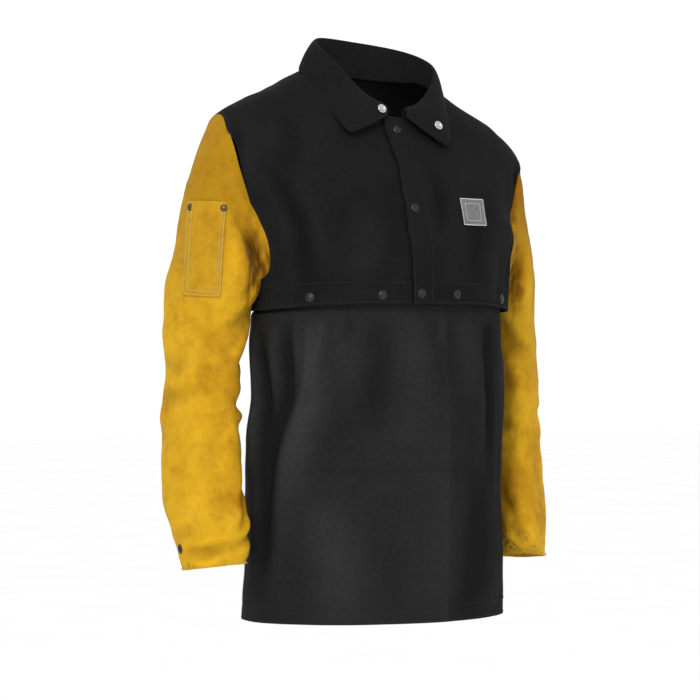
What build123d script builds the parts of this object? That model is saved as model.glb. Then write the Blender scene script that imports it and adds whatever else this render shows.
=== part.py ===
from build123d import *
import math
import os

# Cape-sleeve welding jacket with a snap-on bib, in millimetres.
# +Z is up, the wearer faces -Y, and +X is the wearer's left.
# The origin is the centre of the neck seam.

# ---- driving dimensions ----
cloth = 1.6
leather = 2.0
gap = 0.3

hem_z = -295.0
hem_band_height = 32.0
armpit_z = -240.0
shoulder_roll = 5.5
shoulder_drop = 22.0

neck_half_width = 84.0
neck_half_depth = 72.0
neck_y = 2.0

band_left = -18.0
band_right = 22.0
facing_width = 40.0
throat_z = -30.0

snap_radius = 6.6
snap_post_radius = 1.7
snap_post_clearance = 0.05
socket_radius = 6.0
socket_height = 3.0
socket_recess_radius = 3.3
socket_recess_depth = 2.3
stud_radius = 3.1
stud_flange = 0.9
eyelet_radius = 5.0
eyelet_height = 0.8
cap_height = 2.2

hem_snap_rise = [8.5, 12.0, 14.5, 14.0, 9.0]
hem_snap_angles = [-51.0, -18.0, -1.8, 17.0, 52.0]
placket_snap_x = -5.0
placket_snap_z = [-54.0, -164.0]
collar_snap_places = [(-28.0, -20.0, -26.0), (60.0, -20.0, -44.0)]

bib_top_z = hem_z + 31.0
bib_fold_z = hem_z - 2.0
bib_bottom_z = -728.0
bib_hem_height = 26.0
bib_edge_y = 39.0
bib_side_fold = 22.0

elbow_z = -365.0
elbow_y = 31.0
elbow_x = 249.0
elbow_flex = 70.0
cuff_z = -652.0

pocket_width = 64.0
pocket_height = 130.0
pocket_top_z = -152.0
rivet_radius = 4.5
rivet_post_radius = 1.5

pocket_turn = 27.0
cuff_snap_z = -628.0
badge_x = 96.0
badge_z = -167.0
badge_width = 46.0
badge_height = 36.0
badge_thickness = 1.2

# Torso rings: height, half width, front Y, back Y, roll in degrees.
torso_rings = [
    (-310.0, 192.0, -148.0, 112.0, 0.0),
    (-262.0, 193.0, -147.5, 113.0, 0.4),
    (-215.0, 202.0, -143.0, 117.0, 2.0),
    (-157.0, 230.0, -126.0, 122.0, 3.5),
    (-100.0, 256.0, -99.0, 122.0, 4.8),
    (-58.0, 244.0, -78.0, 113.0, 5.5),
    (-22.0, 182.0, -62.0, 103.0, 5.5),
    (10.0, 122.0, -46.0, 92.0, 5.5),
    (36.0, 78.0, -30.0, 76.0, 5.5),
]

# Bib rings: height, half width, half depth, centre Y.
bib_rings = [
    (-250.0, 181.8, 119.8, -18.0),
    (-300.0, 181.8, 119.8, -18.0),
    (-357.0, 187.0, 125.0, -20.0),
    (-430.0, 186.5, 127.0, -24.0),
    (-497.0, 189.0, 128.0, -21.0),
    (-610.0, 192.0, 131.0, -12.0),
    (-740.0, 196.0, 133.0, -5.0),
]

# Sleeve rings: centre X (outward), Y, Z, slope of the ring plane from
# level, half width across the ring, half depth fore and aft.
sleeve_rings = [
    (219.0, 14.0, -148.0, 75.0, 92.0, 62.0),
    (236.0, 22.0, -205.0, 45.0, 63.0, 62.0),
    (246.0, 29.0, -275.0, 10.0, 47.0, 60.0),
    (249.0, 31.0, -365.0, 0.0, 43.0, 56.0),
    (251.0, 28.0, -480.0, 0.0, 42.0, 55.0),
    (249.0, 12.0, -590.0, 0.0, 41.0, 53.0),
    (243.0, -3.0, -665.0, 0.0, 36.0, 43.0),
]

ring_points = 8

# Collar leaf, front end to back: turn round the neck in degrees, height of
# the fold line, then X, Y and Z of the lower edge.
leaf_sections = [
    (9.0, -23.0, 14.0, -79.0, -33.0),
    (20.0, -19.0, 34.0, -87.0, -46.0),
    (31.0, -10.0, 58.0, -92.0, -57.0),
    (41.0, 0.0, 77.0, -92.0, -62.0),
    (50.0, 10.0, 88.0, -78.0, -48.0),
    (62.0, 27.0, 101.0, -50.0, -25.0),
    (76.0, 42.0, 110.0, -22.0, -2.0),
    (92.0, 54.0, 121.0, 8.0, 23.0),
    (120.0, 69.0, 112.0, 54.0, 33.0),
    (150.0, 79.0, 72.0, 94.0, 38.0),
    (180.0, 81.0, 0.0, 110.0, 40.0),
]
leaf_bulge = 4.0
band_stand = 6.0
ply_gap = 0.1
snap_gap = 0.3
bib_clearance = 3.6

big = 2400.0

os.makedirs("parts", exist_ok=True)


def write(shape, node):
    """Write one piece."""
    export_step(shape, f"parts/{node}.step")


def torso_ring(height, half_width, front, back, roll, inset, drop):
    """Horizontal ellipse of the torso, rolled about the fore-aft axis."""
    face = Ellipse(half_width - inset, (back - front) / 2 - inset)
    return Pos(0, (front + back) / 2, height - drop) * Rot(0, roll, 0) * face


def torso(inset):
    """Solid torso, drawn in from the outside of the yoke."""
    faces = []
    for height, half_width, front, back, roll in torso_rings:
        drop = inset if height > -120 else 0.0
        faces.append(torso_ring(height, half_width, front, back, roll, inset, drop))
    return loft(faces)


def bib_core(inset):
    """Solid inside the bib's outer surface."""
    faces = []
    for height, half_width, half_depth, centre_y in bib_rings:
        front = centre_y - half_depth
        back = centre_y + half_depth
        faces.append(torso_ring(height, half_width, front, back, 0.0, inset, 0.0))
    return loft(faces)


def sleeve_core(side, inset):
    """Solid inside one sleeve's outer surface; side is -1 for the wearer's right."""
    faces = []
    last = len(sleeve_rings) - 1
    for index, ring in enumerate(sleeve_rings):
        x, y, z, slope, half_width, half_depth = ring
        lift = -side * shoulder_drop * max(0.0, 1.0 + (z + 148.0) / 220.0)
        place = Pos(x, y, z + lift) * Rot(0, -slope, 0)
        if inset > 0 and index == 0:
            place = place * Pos(0, 0, 6)
        if inset > 0 and index == last:
            place = place * Pos(0, 0, -6)
        points = []
        for step in range(ring_points):
            turn = 2 * math.pi * step / ring_points
            across = (half_width - inset) * math.cos(turn)
            points.append((across, (half_depth - inset) * math.sin(turn)))
        faces.append(place * Face(Wire([Spline(*points, periodic=True)])))
    core = loft(faces, ruled=True)
    return core if side > 0 else mirror(core, Plane.YZ)


def slab_z(low, high):
    """Everything between two heights."""
    return Pos(0, 0, (low + high) / 2) * Box(big, big, high - low)


def slab_x(low, high):
    """Everything between two fore-aft planes."""
    return Pos((low + high) / 2, 0, 0) * Box(high - low, big, big)


def slab_y(low, high):
    """Everything between two cross planes."""
    return Pos(0, (low + high) / 2, 0) * Box(big, high - low, big)


def rolled(shape):
    """Turn a piece with the wearer's dropped left shoulder."""
    return Rot(0, shoulder_roll, 0) * shape


def surface_frame(body, origin, direction):
    """Location on a body's outside, with local Z along the outward normal."""
    hits = body.find_intersection_points(Axis(origin, direction))
    way = Vector(*direction)
    point, normal = max(hits, key=lambda hit: (hit[0] - Vector(*origin)).dot(way))
    if normal.dot(way) < 0:
        normal = -normal
    side = Vector(0, 0, 1).cross(normal)
    return Location(Plane(origin=point, x_dir=side, z_dir=normal))


def side_profile(points):
    """Outline in (Y, Z), run across the whole width."""
    return extrude(Plane.YZ * Polygon(*points, align=None), big / 2, both=True)


def front_profile(points):
    """Outline in (X, Z), run through the whole depth."""
    return extrude(Plane.XZ * Polygon(*points, align=None), big / 2, both=True)


def leaf_section(side, section):
    """Bent strip of the collar leaf, from the fold line to the lower edge."""
    degrees, fold_z, x, y, z = section
    turn = math.radians(degrees)
    top = Vector(side * (neck_half_width + 2.2) * math.sin(turn), neck_y, fold_z)
    top = top - Vector(0, (neck_half_depth + 2.2) * math.cos(turn), 0)
    edge = Vector(side * x, y, z)
    run = (edge - top).normalized()
    up = Vector(0, 0, 1)
    out = (up - run * up.dot(run)).normalized()
    crown = (top + edge) * 0.5 + out * leaf_bulge
    corners = [top, crown, edge, edge - out * cloth, crown - out * cloth, top - out * cloth]
    return Face(Wire.make_polygon(corners, close=True))


def depth_of(body, frame):
    """How far a body's outside lies behind a frame."""
    plane = Plane(frame)
    hits = body.find_intersection_points(Axis(plane.origin, plane.z_dir))
    return min(abs((point - plane.origin).dot(plane.z_dir)) for point, normal in hits)


def snap_cap(frame, depth):
    """Domed cap with the post that carries it through the cloth."""
    dome = Pos(0, 0, snap_gap + cap_height / 2) * Cylinder(snap_radius, cap_height)
    dome = fillet(dome.edges().sort_by(Axis.Z)[-1], cap_height * 0.8)
    post = Pos(0, 0, (snap_gap - depth) / 2) * Cylinder(snap_post_radius, depth + snap_gap)
    return frame * (dome + post)


def snap_socket(frame, depth):
    """Socket ring behind the cloth, open on its inner side."""
    depth = depth + snap_gap
    body = Pos(0, 0, -depth - socket_height / 2) * Cylinder(socket_radius, socket_height)
    low = -depth - socket_height + socket_recess_depth / 2
    recess = Pos(0, 0, low) * Cylinder(socket_recess_radius, socket_recess_depth)
    return frame * (body - recess)


def snap_stud(frame, depth):
    """Flange with the knob that snaps into the socket."""
    top = -depth - 2 * snap_gap - socket_height
    flange = Pos(0, 0, top - stud_flange / 2) * Cylinder(socket_radius, stud_flange)
    knob_height = socket_recess_depth - 0.2
    knob = Pos(0, 0, top + knob_height / 2) * Cylinder(stud_radius, knob_height)
    return frame * (flange + knob)


def snap_eyelet(frame, depth, grip):
    """Eyelet that clamps the stud to its cloth from behind."""
    top = -depth - 2 * snap_gap - socket_height - stud_flange
    post = Pos(0, 0, top - grip / 2) * Cylinder(snap_post_radius, grip)
    low = top - grip - eyelet_height / 2
    flange = Pos(0, 0, low) * Cylinder(eyelet_radius, eyelet_height)
    return frame * (post + flange)


def drilled(shape, frames):
    """Open a post hole through a cloth layer at every snap."""
    for frame in frames:
        shape = shape - frame * Cylinder(snap_post_radius + snap_post_clearance, 60)
    return shape


# ---- torso solids that every yoke layer is cut from ----
torso_outer = torso(0.0)
torso_inner = torso(cloth)
torso_fold = torso(cloth + ply_gap)
torso_facing = torso(2 * cloth)
front_half = slab_y(-big / 2, neck_y)
back_half = slab_y(neck_y, big / 2)

neck_hole = extrude(Ellipse(neck_half_width + ply_gap, neck_half_depth + ply_gap), 200, both=True)
neck_hole = rolled(Pos(0, neck_y, 0) * neck_hole)

# Outside of each armhole: a plane that leans out towards the shoulder.
armholes = []
for side in (-1, 1):
    drop = -side * shoulder_drop
    outline = [
        (side * 266.0, 42.0 + drop),
        (side * 196.0, armpit_z + 0.6 * drop),
        (side * 400.0, armpit_z + 0.6 * drop),
        (side * 400.0, 42.0 + drop),
    ]
    armholes.append(front_profile(outline))

# ---- snap places ----
hem_frames = []
for angle, rise in zip(hem_snap_angles, hem_snap_rise):
    turn = math.radians(angle)
    way = (192.0 * math.sin(turn), -130.0 * math.cos(turn), 0.0)
    hem_frames.append(surface_frame(torso_outer, (0.0, -18.0, hem_z + rise), way))

torso_band_inner = torso(-band_stand)
torso_band_outer = torso(-band_stand - cloth)
placket_frames = []
for height in placket_snap_z:
    spot = (placket_snap_x, -20.0, height)
    placket_frames.append(surface_frame(torso_band_outer, spot, (0.0, -1.0, 0.0)))

# ---- yoke cloth ----
yoke = (torso_outer - torso_inner) & slab_z(hem_z, 60)
yoke = yoke - neck_hole - armholes[0] - armholes[1]
yoke = yoke - sleeve_core(-1, -gap) - sleeve_core(1, -gap)
yoke = drilled(yoke, hem_frames)

front_cloth = yoke & front_half
split_x = band_right - 2.0
right_front = drilled(front_cloth & slab_x(-big, split_x), placket_frames)
write(right_front, "right_front")
write(front_cloth & slab_x(split_x, big), "left_front")
write(yoke & back_half, "back_yoke")

fold_band = (torso_fold & slab_z(hem_z, hem_z + hem_band_height)) - torso_facing
fold_band = drilled(fold_band, hem_frames)
write(fold_band & front_half, "front_hem_fold")
write(fold_band & back_half, "back_hem_fold")

facing = torso_fold & slab_x(split_x - facing_width, split_x) & front_half
facing = facing & slab_z(hem_z + hem_band_height + gap, 30)
facing = drilled(facing - torso_facing - neck_hole, placket_frames)
write(facing, "right_front_facing")

band_outline = [
    (band_left, throat_z),
    (band_right, throat_z - 6),
    (band_right, hem_z),
    (band_left, hem_z),
]
return_outline = [
    (split_x, throat_z),
    (band_right, throat_z - 6),
    (band_right, hem_z),
    (split_x, hem_z),
]
band = (front_profile(band_outline) & front_half & torso_band_outer) - torso_band_inner
band_return = (front_profile(return_outline) & front_half & torso_band_outer) - torso(-ply_gap)
placket = drilled(band + band_return, placket_frames + hem_frames[2:3])
write(placket, "placket_band")

# ---- collar ----
stand = extrude(Ellipse(neck_half_width, neck_half_depth), 200, both=True)
stand = stand - extrude(Ellipse(neck_half_width - 2, neck_half_depth - 2), 200, both=True)
stand = Pos(0, neck_y, 0) * stand
collar_opening = front_profile([(-14, -90), (-14, -20), (-30, 120), (30, 120), (18, -20), (18, -90)])
collar_opening = collar_opening & slab_y(-big, -20)
stand_outline = [
    (-90, -62),
    (-60, -40),
    (-20, 2),
    (10, 18),
    (90, 26),
    (100, 80),
    (60, 77),
    (10, 56),
    (-40, 20),
    (-74, -26),
    (-90, -40),
]
stand = (stand & side_profile(stand_outline)) - collar_opening
over_band = front_profile([(-26, 0), (30, 0), (30, -120), (-26, -120)]) & slab_y(-big, -20)
over_band = torso(-band_stand - cloth - gap) & over_band
write(rolled(stand) - over_band, "collar_stand")

leaf_faces = [leaf_section(-1, section) for section in leaf_sections]
leaf_faces += [leaf_section(1, section) for section in reversed(leaf_sections[:-1])]
leaf = rolled(loft(leaf_faces, ruled=True)) - torso(-0.6)
neck_column = extrude(Ellipse(neck_half_width + gap, neck_half_depth + gap), 200, both=True)
leaf = leaf - over_band - rolled(Pos(0, neck_y, 0) * neck_column)
collar_frames = []
for place in collar_snap_places:
    collar_frames.append(surface_frame(leaf, place, (0.0, -1.0, 0.0)))
leaf = drilled(leaf, collar_frames)
write(leaf.solids().sort_by(SortBy.VOLUME)[-1], "collar_leaf")
ring = Pos(0, 0, gap + 0.8) * Cylinder(socket_radius, 1.6)
ring = ring - Pos(0, 0, gap + 1.1) * Cylinder(socket_recess_radius, 1.0)
ring_post = Pos(0, 0, gap - 1.6) * Cylinder(snap_post_radius, 3.6)
write(collar_frames[0] * (ring + ring_post), "collar_snap_ring")
write(snap_cap(collar_frames[1], cloth), "collar_snap_cap")

# ---- snaps of the placket and the hem ----
caps = []
sockets = []
studs = []
eyelets = []
for frame in placket_frames:
    depth = depth_of(torso_band_inner, frame) + gap
    inside = depth_of(torso_facing, frame) + 3 * gap
    grip = inside - depth - 2 * snap_gap - socket_height - stud_flange
    caps.append(snap_cap(frame, depth))
    sockets.append(snap_socket(frame, depth))
    studs.append(snap_stud(frame, depth))
    eyelets.append(snap_eyelet(frame, depth, grip))
write(Compound(caps), "placket_snap_caps")
write(Compound(sockets), "placket_snap_sockets")
write(Compound(studs), "placket_snap_studs")
write(Compound(eyelets), "placket_snap_eyelets")

caps = []
sockets = []
studs = []
eyelets = []
for index, frame in enumerate(hem_frames):
    if index == 2:
        raised = frame * Location((0, 0, band_stand + cloth))
        caps.append(snap_cap(raised, band_stand + 3 * cloth))
    else:
        caps.append(snap_cap(frame, 2 * cloth))
    sockets.append(snap_socket(frame, 2 * cloth))
    studs.append(snap_stud(frame, 2 * cloth))
    eyelets.append(snap_eyelet(frame, 2 * cloth, 2 * cloth + bib_clearance))
write(Compound(caps), "hem_snap_caps")
write(Compound(sockets), "hem_snap_sockets")
write(Compound(studs), "hem_snap_studs")
write(Compound(eyelets), "hem_snap_eyelets")

# ---- bib ----
bib_front = slab_y(-big, bib_edge_y)
bib_outer = bib_core(0.0) & bib_front
bib_inner = bib_core(cloth)
bib_ply = bib_core(cloth + ply_gap) & bib_front
bib_lining = bib_core(2 * cloth)
bib_shell = bib_outer - bib_inner
top_band = drilled(bib_shell & slab_z(bib_fold_z, bib_top_z), hem_frames)
write(top_band, "bib_top_band")
top_fold = (bib_ply & slab_z(bib_fold_z, bib_top_z)) - bib_lining
write(drilled(top_fold, hem_frames), "bib_top_fold")
write(bib_shell & slab_z(bib_bottom_z, bib_fold_z - 0.5), "bib_panel")
inner_ply = bib_ply - bib_lining
write(inner_ply & slab_z(bib_bottom_z, bib_bottom_z + bib_hem_height), "bib_bottom_hem")
side_fold = inner_ply & slab_z(bib_bottom_z + bib_hem_height + gap, bib_fold_z - 0.5)
side_fold = side_fold & slab_y(bib_edge_y - bib_side_fold, bib_edge_y)
write(side_fold, "bib_side_hems")

# ---- sleeves ----
front_rise = math.tan(math.radians(elbow_flex / 2))
reach = 120.0
upper_outline = [
    (elbow_y - reach, 60),
    (400, 60),
    (400, elbow_z + gap),
    (elbow_y, elbow_z + gap),
    (elbow_y - reach, elbow_z + gap + reach * front_rise),
]
lower_outline = [
    (elbow_y - reach, cuff_z),
    (400, cuff_z),
    (400, elbow_z - gap),
    (elbow_y, elbow_z - gap),
    (elbow_y - reach, elbow_z - gap - reach * front_rise),
]
for side, name in ((-1, "right"), (1, "left")):
    core = sleeve_core(side, 0.0)
    tube = core - sleeve_core(side, leather)
    upper = tube & side_profile(upper_outline)
    lower = tube & side_profile(lower_outline)
    if side < 0:
        turn = math.radians(pocket_turn)
        spot = (-elbow_x + 12, 24.0, pocket_top_z - pocket_height / 2)
        way = (-math.sin(turn), -math.cos(turn), 0.05)
        pocket_frame = surface_frame(core, spot, way)
        block = pocket_frame * Box(pocket_width, pocket_height, 60)
        pocket = (sleeve_core(side, -leather) & block) - sleeve_core(side, -ply_gap)
        rivet_frames = []
        for corner in (-1, 1):
            across = corner * (pocket_width / 2 - 8)
            place = pocket_frame * Location((across, pocket_height / 2 - 9, 0))
            normal = Plane(place).z_dir
            start = place.position - normal * 30
            rivet_frames.append(surface_frame(sleeve_core(side, -leather), tuple(start), tuple(normal)))
        heads = []
        burrs = []
        hole = snap_post_clearance + rivet_post_radius
        for frame in rivet_frames:
            head = Pos(0, 0, 1.25) * Cylinder(rivet_radius, 1.8)
            head = fillet(head.edges().sort_by(Axis.Z)[-1], 1.3)
            post = Pos(0, 0, -0.1 - leather) * Cylinder(rivet_post_radius, 2 * leather + 1.0)
            heads.append(frame * (head + post))
            burrs.append(frame * Pos(0, 0, -2 * leather - 1.15) * Cylinder(rivet_radius, 1.0))
            upper = upper - frame * Cylinder(hole, 30)
            pocket = pocket - frame * Cylinder(hole, 30)
        write(pocket, "pencil_pocket")
        write(Compound(heads), "pocket_rivets")
        write(Compound(burrs), "pocket_rivet_washers")
    cuff_spot = (side * 245.0, 2.0, cuff_snap_z)
    cuff_way = (side * 0.9, 0.42, 0.0)
    cuff_frame = surface_frame(core, cuff_spot, cuff_way)
    lower = drilled(lower, [cuff_frame])
    write(snap_cap(cuff_frame, leather), name + "_cuff_snap")
    write(upper, name + "_sleeve_upper")
    write(lower, name + "_sleeve_lower")

# ---- plain badge on the wearer's left chest ----
badge_frame = surface_frame(torso_outer, (badge_x, -20.0, badge_z), (0.0, -1.0, 0.0))
badge_block = badge_frame * Box(badge_width, badge_height, 30)
badge = (torso(-badge_thickness) & badge_block) - torso(-ply_gap)
write(badge, "chest_badge")
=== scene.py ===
import math

import bmesh
import bpy
import numpy as np
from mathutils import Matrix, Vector, noise
from mathutils.bvhtree import BVHTree


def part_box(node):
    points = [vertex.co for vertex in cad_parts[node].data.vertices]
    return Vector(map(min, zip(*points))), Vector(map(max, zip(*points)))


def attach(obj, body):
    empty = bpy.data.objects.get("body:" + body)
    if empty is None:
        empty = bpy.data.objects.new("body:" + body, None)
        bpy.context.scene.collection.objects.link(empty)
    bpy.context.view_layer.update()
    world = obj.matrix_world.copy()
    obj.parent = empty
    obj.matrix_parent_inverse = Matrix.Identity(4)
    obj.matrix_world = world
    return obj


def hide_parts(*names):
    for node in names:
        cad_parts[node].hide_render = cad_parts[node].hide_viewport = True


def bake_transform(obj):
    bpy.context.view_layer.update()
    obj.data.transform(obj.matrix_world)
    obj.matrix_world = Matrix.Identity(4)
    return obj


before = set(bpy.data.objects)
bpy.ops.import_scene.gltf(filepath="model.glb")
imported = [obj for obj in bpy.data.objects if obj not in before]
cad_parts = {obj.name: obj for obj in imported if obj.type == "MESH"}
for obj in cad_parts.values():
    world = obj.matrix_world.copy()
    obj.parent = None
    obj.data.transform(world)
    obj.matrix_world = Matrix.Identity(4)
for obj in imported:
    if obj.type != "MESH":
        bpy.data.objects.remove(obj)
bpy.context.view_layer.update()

MM = 0.001

# ---- driving values, in millimetres and radians, the same as the CAD design's ----
BAND_HEIGHT = 31.0
HEM_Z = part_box("bib_top_band")[1].z / MM - BAND_HEIGHT
CLOTH = 1.6
LEATHER = 2.0
BIB_TOP_Z = HEM_Z + BAND_HEIGHT
BIB_BOTTOM_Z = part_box("bib_panel")[0].z / MM
BIB_EDGE_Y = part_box("bib_panel")[1].y / MM
PLY_GAP = 0.15
HEM_FOLD = 32.0
HEM_DIP = 9.0
SHOULDER_DROP = 22.0
CUFF_RISE = 6.0
BAND_LEFT, BAND_RIGHT = -18.0, 22.0
BAND_STAND = 5.4
NECK_HALF_WIDTH = 84.0
NECK_HALF_DEPTH = 72.0
NECK_Y = 2.0
YOKE_BODY = "yoke"
BIB_MIDDLE_Y = -18.0
SIDE_SEAM = math.radians(97)
LEAN = math.radians(5.5)
YOKE_RADIUS, BIB_RADIUS = 165.0, 160.0
ARM_Y, ARM_Z = 14.0, -170.0
ARM_TOP, ARM_LOW = -57.0, -263.0
ARM_DEPTH, ARM_POWER = 56.0, 3.2

# Torso rings: height, half width, front Y, back Y, roll in degrees.
TORSO = [
    (-310.0, 192.0, -148.0, 112.0, 0.0),
    (-262.0, 193.0, -147.5, 113.0, 0.4),
    (-215.0, 202.0, -143.0, 117.0, 2.0),
    (-157.0, 230.0, -126.0, 122.0, 3.5),
    (-100.0, 256.0, -99.0, 122.0, 4.8),
    (-58.0, 244.0, -78.0, 113.0, 5.5),
    (-22.0, 182.0, -62.0, 103.0, 5.5),
    (10.0, 122.0, -46.0, 92.0, 5.5),
    (36.0, 78.0, -30.0, 76.0, 5.5),
]
# Bib rings: height, half width, half depth, centre Y.
BIB = [
    (-250.0, 181.8, 119.8, -18.0),
    (-300.0, 181.8, 119.8, -18.0),
    (-357.0, 187.0, 125.0, -20.0),
    (-430.0, 186.5, 127.0, -24.0),
    (-497.0, 189.0, 128.0, -21.0),
    (-610.0, 192.0, 131.0, -12.0),
    (-740.0, 196.0, 133.0, -5.0),
]
# Sleeve rings below the armhole: centre X outward, Y, Z, slope in degrees,
# long half axis, short half axis, turn of the long axis in degrees.
SLEEVE = [
    (232.0, 20.0, -194.0, 51.0, 64.0, 60.0, 0.0),
    (237.0, 20.0, -262.0, 16.0, 77.0, 50.0, 57.0),
    (242.0, 27.0, -304.0, 8.0, 68.0, 41.0, 60.0),
    (246.0, 31.0, -345.0, 3.0, 62.0, 36.0, 62.0),
    (248.0, 31.0, -400.0, 0.0, 60.0, 33.0, 61.0),
    (251.0, 28.0, -480.0, 0.0, 61.0, 32.0, 60.0),
    (249.0, 17.0, -560.0, 0.0, 62.0, 32.0, 60.0),
    (246.0, 4.0, -615.0, 0.0, 58.0, 31.0, 60.0),
    (243.0, -3.0, -652.0, 0.0, 48.0, 28.0, 60.0),
]


# ---- camera first: the wearer's right front, level ----
AZIMUTH = math.radians(-27.0)
DISTANCE = 4.0
RIGHT = Vector((math.cos(AZIMUTH), math.sin(AZIMUTH), 0.0))
BACK = Vector((math.sin(AZIMUTH), -math.cos(AZIMUTH), 0.0))
TARGET = RIGHT * -0.0325 + Vector((0, 0, -0.357))
camera_data = bpy.data.cameras.new("camera")
camera_data.lens = 146.9
camera_data.sensor_width = 36.0
camera_data.clip_end = 50.0
camera = bpy.data.objects.new("camera", camera_data)
bpy.context.collection.objects.link(camera)
camera.location = TARGET + BACK * DISTANCE
camera.rotation_euler = (math.radians(90), 0, AZIMUTH)
bpy.context.scene.camera = camera


# ---- small tools ----
def spline(table, at):
    """Natural cubic spline through a table's rows, keyed by its first column."""
    rows = np.array(sorted(table, key=lambda row: row[0]), float)
    x, y = rows[:, 0], rows[:, 1:]
    n = len(x)
    h = np.diff(x)
    a = np.zeros((n, n))
    r = np.zeros((n, y.shape[1]))
    a[0, 0] = a[-1, -1] = 1
    for i in range(1, n - 1):
        a[i, i - 1], a[i, i], a[i, i + 1] = h[i - 1], 2 * (h[i - 1] + h[i]), h[i]
        r[i] = 6 * ((y[i + 1] - y[i]) / h[i] - (y[i] - y[i - 1]) / h[i - 1])
    m = np.linalg.solve(a, r)
    at = np.clip(np.asarray(at, float), x[0], x[-1])
    i = np.clip(np.searchsorted(x, at) - 1, 0, n - 2)
    hi = h[i][..., None]
    left, right = (x[i + 1] - at)[..., None], (at - x[i])[..., None]
    value = (m[i] * left**3 + m[i + 1] * right**3) / (6 * hi)
    value += (y[i] / hi - m[i] * hi / 6) * left
    return value + (y[i + 1] / hi - m[i + 1] * hi / 6) * right


def smooth(x, low, high):
    """0 below low, 1 above high, smooth between."""
    t = np.clip((np.asarray(x, float) - low) / (high - low), 0, 1)
    return t * t * (3 - 2 * t)


def hump(x, low, full, ease, high):
    """0 outside low and high, 1 between full and ease, smooth between."""
    return smooth(x, low, full) * (1 - smooth(x, ease, high))


def bell(x, middle, width):
    """1 at the middle, fading on both sides."""
    return np.exp(-(((x - middle) / width) ** 2))


def wavy(points, size, seed):
    """Smooth noise from -1 to 1 at each point, with bumps of that size in millimetres."""
    flat = np.asarray(points, float).reshape(-1, 3) / size + seed * 17.3
    out = [noise.noise(Vector(p)) for p in flat]
    return np.array(out).reshape(np.asarray(points).shape[:-1]) * 1.6


def crease(u, v, marks):
    """Soft ridges and valleys on a flat (u, v) sheet: (u0, v0, u1, v1, width, height)."""
    total = np.zeros(np.broadcast(u, v).shape)
    for u0, v0, u1, v1, width, height in marks:
        du, dv = u1 - u0, v1 - v0
        length = math.hypot(du, dv)
        along = ((u - u0) * du + (v - v0) * dv) / length
        off = ((u - u0) * dv - (v - v0) * du) / length
        off = off + 0.05 * length * np.sin(along / length * math.pi)
        fade = np.sin(np.clip(along / length, 0, 1) * math.pi) ** 0.7
        shape = np.exp(-((off / width) ** 2))
        side = np.exp(-(((off - 1.7 * width) / width) ** 2))
        side = side + np.exp(-(((off + 1.7 * width) / width) ** 2))
        total = total + height * fade * (shape - 0.42 * side)
    return total


def normals_of(grid, closed):
    """Unit normals of a grid of points [row, column, xyz]."""
    if closed:
        across = np.roll(grid, -1, 1) - np.roll(grid, 1, 1)
    else:
        across = np.gradient(grid, axis=1)
    down = np.gradient(grid, axis=0)
    n = np.cross(across, down)
    return n / np.maximum(np.linalg.norm(n, axis=-1, keepdims=True), 1e-9)


def link(name, mesh, rounded=True):
    """New object from a mesh, shaded smooth if rounded."""
    mesh.polygons.foreach_set("use_smooth", [rounded] * len(mesh.polygons))
    piece = bpy.data.objects.new(name, mesh)
    bpy.context.collection.objects.link(piece)
    return piece


# How the worn jacket sits off the symmetric pattern: height, then how far the
# wearer's right shoulder draws in and the left sleeve hangs in and back.
POSTURE = [
    (-400.0, 0.0, 0.0),
    (-377.0, 0.0, 1.0),
    (-350.0, 0.0, 4.0),
    (-325.0, 0.0, 8.0),
    (-299.0, 0.0, 12.0),
    (-273.0, 0.0, 16.0),
    (-235.0, 0.0, 21.0),
    (-195.0, 2.0, 22.0),
    (-160.0, 3.0, 23.0),
    (-131.0, 4.0, 23.0),
    (-107.0, 5.0, 18.0),
    (-82.0, 8.0, 8.0),
    (-58.0, 10.0, -1.0),
    (-30.0, 11.0, -3.0),
    (0.0, 6.0, -2.0),
    (30.0, 0.0, 0.0),
]


def posture(points):
    """Move points of the cloth from the symmetric pattern to how it hangs."""
    out = np.array(points, float)
    x, z = out[..., 0].copy(), out[..., 2].copy()
    rows = np.array(POSTURE)
    right = np.interp(z, rows[:, 0], rows[:, 1]) * smooth(-x, 110, 215)
    left = np.interp(z, rows[:, 0], rows[:, 2])
    low = smooth(-z, 150, 215)
    left = left * smooth(x, 130 + 60 * low, 225 + 50 * low)
    out[..., 0] += right - 0.85 * left
    out[..., 1] += 0.3 * np.clip(left, 0, None)
    out[..., 2] += 5.0 * bell(x, 165, 38) * smooth(z, -110, -40)
    return out


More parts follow.
